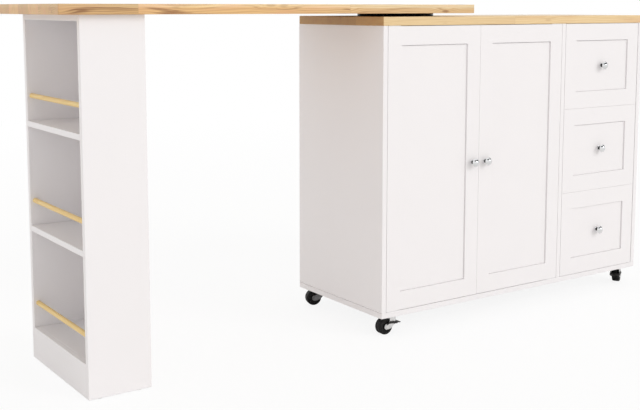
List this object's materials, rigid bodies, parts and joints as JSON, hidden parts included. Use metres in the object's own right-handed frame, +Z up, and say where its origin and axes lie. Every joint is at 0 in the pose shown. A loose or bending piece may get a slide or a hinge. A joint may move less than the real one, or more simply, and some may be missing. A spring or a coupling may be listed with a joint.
{
  "type": "extendable kitchen island",
  "caption": "White wheeled kitchen island with doors and drawers, whose wood leaf turns out on a turntable over an open shelf tower.",
  "frame": {"origin": "on the floor under the middle of the whole island, leaf turned out", "axes": "+X along the cabinet from the shelf tower to the drawers, +Y from the fronts to the back, +Z up"},
  "size_m": [2.029, 0.4505, 0.95],
  "materials": {
    "white_paint": "satin white paint on board",
    "wood_top": "clear satin lacquer on solid wood staves",
    "dowel_wood": "clear lacquered dowel",
    "chrome": "polished plating",
    "steel": "zinc-plated pressed steel",
    "black_steel": "black powder coat",
    "black_plastic": "moulded black plastic",
    "wheel_black": "moulded black wheel",
    "white_plastic": "moulded white plastic"
  },
  "bodies": {
    "cabinet": {"worktop": "wood_top", "side_panel_left": "white_paint", "side_panel_right": "white_paint", "divider_panel": "white_paint", "bottom_board": "white_paint", "top_board": "white_paint", "back_panel": "white_paint", "inner_shelf": "white_paint", "shelf_pins": "steel", "drawer_rails": "steel", "door_pivot_plates": "steel", "door_catches": "white_plastic", "turntable_lower_plate": "black_steel", "turntable_bearing": "steel", "caster_plates": "steel", "caster_screws": "steel"},
    "leaf": {"leaf_top": "wood_top", "turntable_upper_plate": "black_steel", "tower_front_panel": "white_paint", "tower_rear_panel": "white_paint", "tower_inner_panel": "white_paint", "tower_top_board": "white_paint", "tower_upper_shelf": "white_paint", "tower_lower_shelf": "white_paint", "tower_bottom_shelf": "white_paint", "tower_plinth": "white_paint", "tower_rails": "dowel_wood", "tower_glides": "white_plastic"},
    "door_left": {"left_door": "white_paint", "left_door_knob": "chrome", "left_door_fittings": "steel"},
    "door_right": {"right_door": "white_paint", "right_door_knob": "chrome", "right_door_fittings": "steel"},
    "drawer_top": {"top_drawer_front": "white_paint", "top_drawer_walls": "white_paint", "top_drawer_floor": "white_paint", "top_drawer_knob": "chrome", "top_drawer_slides": "steel"},
    "drawer_middle": {"middle_drawer_front": "white_paint", "middle_drawer_walls": "white_paint", "middle_drawer_floor": "white_paint", "middle_drawer_knob": "chrome", "middle_drawer_slides": "steel"},
    "drawer_bottom": {"bottom_drawer_front": "white_paint", "bottom_drawer_walls": "white_paint", "bottom_drawer_floor": "white_paint", "bottom_drawer_knob": "chrome", "bottom_drawer_slides": "steel"},
    "caster_front_left": {"front_left_fork": "steel"},
    "wheel_front_left": {"front_left_wheel": "wheel_black"},
    "brake_front_left": {"front_left_pedal": "black_plastic"},
    "caster_front_right": {"front_right_fork": "steel"},
    "wheel_front_right": {"front_right_wheel": "wheel_black"},
    "brake_front_right": {"front_right_pedal": "black_plastic"},
    "caster_rear_left": {"rear_left_fork": "steel"},
    "wheel_rear_left": {"rear_left_wheel": "wheel_black"},
    "caster_rear_right": {"rear_right_fork": "steel"},
    "wheel_rear_right": {"rear_right_wheel": "wheel_black"}
  },
  "joints": [
    {"name": "leaf_swing", "type": "hinge", "parent": "cabinet", "child": "leaf", "pos_m": [0.12654, 0.01125, 0.9205], "axis": [0, 0, -1], "range_deg": [-180, 180]},
    {"name": "left_door_hinge", "type": "hinge", "parent": "cabinet", "child": "door_left", "pos_m": [-0.05596, -0.19625, 0.078], "axis": [0, 0, -1], "range_deg": [0, 110]},
    {"name": "right_door_hinge", "type": "hinge", "parent": "cabinet", "child": "door_right", "pos_m": [0.61954, -0.19625, 0.078], "axis": [0, 0, 1], "range_deg": [0, 93]},
    {"name": "top_drawer_slide", "type": "slide", "parent": "cabinet", "child": "drawer_top", "axis": [0, -1, 0], "range_m": [0, 0.28]},
    {"name": "middle_drawer_slide", "type": "slide", "parent": "cabinet", "child": "drawer_middle", "axis": [0, -1, 0], "range_m": [0, 0.28]},
    {"name": "bottom_drawer_slide", "type": "slide", "parent": "cabinet", "child": "drawer_bottom", "axis": [0, -1, 0], "range_m": [0, 0.28]},
    {"name": "front_left_swivel", "type": "hinge", "parent": "cabinet", "child": "caster_front_left", "pos_m": [-0.03046, -0.16925, 0.049], "axis": [0, 0, 1], "continuous": true},
    {"name": "front_left_roll", "type": "hinge", "parent": "caster_front_left", "child": "wheel_front_left", "pos_m": [-0.05046, -0.16925, 0.024], "axis": [0, 1, 0], "continuous": true},
    {"name": "front_left_brake", "type": "hinge", "parent": "caster_front_left", "child": "brake_front_left", "pos_m": [-0.03446, -0.16925, 0.034], "axis": [0, 1, 0], "range_deg": [0, 18]},
    {"name": "front_right_swivel", "type": "hinge", "parent": "cabinet", "child": "caster_front_right", "pos_m": [0.96154, -0.16925, 0.049], "axis": [0, 0, 1], "continuous": true},
    {"name": "front_right_roll", "type": "hinge", "parent": "caster_front_right", "child": "wheel_front_right", "pos_m": [0.9785, -0.15865, 0.024], "axis": [0.5299, -0.848, 0], "continuous": true},
    {"name": "front_right_brake", "type": "hinge", "parent": "caster_front_right", "child": "brake_front_right", "pos_m": [0.96493, -0.16713, 0.034], "axis": [0.5299, -0.848, 0], "range_deg": [0, 18]},
    {"name": "rear_left_swivel", "type": "hinge", "parent": "cabinet", "child": "caster_rear_left", "pos_m": [-0.03046, 0.19175, 0.049], "axis": [0, 0, 1], "continuous": true},
    {"name": "rear_left_roll", "type": "hinge", "parent": "caster_rear_left", "child": "wheel_rear_left", "pos_m": [-0.04969, 0.19726, 0.024], "axis": [0.2756, 0.9613, 0], "continuous": true},
    {"name": "rear_right_swivel", "type": "hinge", "parent": "cabinet", "child": "caster_rear_right", "pos_m": [0.96154, 0.19175, 0.049], "axis": [0, 0, 1], "continuous": true},
    {"name": "rear_right_roll", "type": "hinge", "parent": "caster_rear_right", "child": "wheel_rear_right", "pos_m": [0.94327, 0.18362, 0.024], "axis": [-0.4067, 0.9135, 0], "continuous": true}
  ]
}
